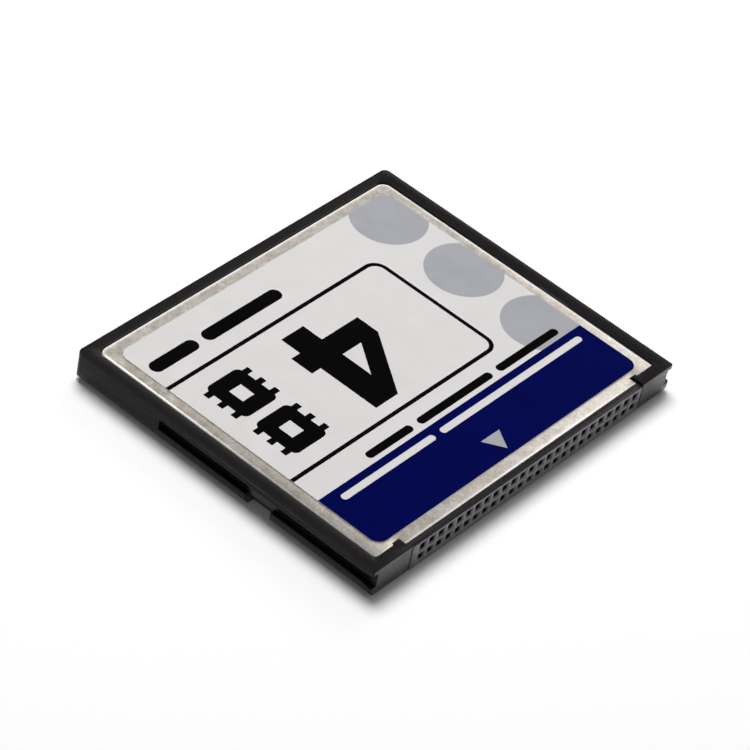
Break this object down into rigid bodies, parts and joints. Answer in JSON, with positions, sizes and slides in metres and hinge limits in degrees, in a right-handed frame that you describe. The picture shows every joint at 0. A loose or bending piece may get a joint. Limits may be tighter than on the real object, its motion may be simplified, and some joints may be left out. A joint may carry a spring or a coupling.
{
  "type": "removable memory card",
  "caption": "Thin memory card: plastic frame with guide grooves, folded steel covers, a printed label and a socket connector with two rows of square holes.",
  "frame": {"origin": "bottom centre of the card's bounding box, on the plane of the bottom cover", "axes": "+X along the 42.8 mm width, the connector edge faces -Y, +Z out of the labelled side"},
  "size_m": [0.0428, 0.0364, 0.0033],
  "materials": {
    "frame_plastic": "fine-textured black moulding",
    "connector_plastic": "smooth dark grey moulding",
    "cover_steel": "thin rolled stainless sheet, faintly mottled",
    "label_film": "semi-gloss white film",
    "blue_ink": "semi-gloss navy print",
    "grey_ink": "semi-gloss pale grey print",
    "black_ink": "semi-gloss black print",
    "contact_metal": "gold-plated spring metal",
    "board_laminate": "green solder mask",
    "chip_compound": "black moulding compound",
    "tinned_lead": "tin-plated leads",
    "crystal_can": "plated metal lid on a ceramic base",
    "tantalum_case": "yellow moulded case",
    "capacitor_ceramic": "tan ceramic",
    "resistor_ceramic": "black-glazed ceramic"
  },
  "bodies": {
    "root": {"frame": "frame_plastic", "top_cover": "cover_steel", "bottom_cover": "cover_steel", "front_label": "label_film", "connector_body": "connector_plastic", "upper_contacts": "contact_metal", "lower_contacts": "contact_metal", "circuit_board": "board_laminate", "memory_chip_top": "chip_compound", "memory_chip_top_leads": "tinned_lead", "memory_chip_bottom": "chip_compound", "memory_chip_bottom_leads": "tinned_lead", "controller_chip": "chip_compound", "controller_chip_leads": "tinned_lead", "clock_crystal": "crystal_can", "voltage_regulator": "chip_compound", "voltage_regulator_leads": "tinned_lead", "tantalum_capacitor": "tantalum_case", "ceramic_capacitors": "capacitor_ceramic", "pull_up_resistors": "resistor_ceramic", "label_band": "blue_ink", "label_arrow": "grey_ink", "label_discs": "grey_ink", "label_box_line": "black_ink", "label_numeral": "black_ink", "label_symbols": "black_ink", "label_bars": "black_ink"}
  },
  "joints": []
}
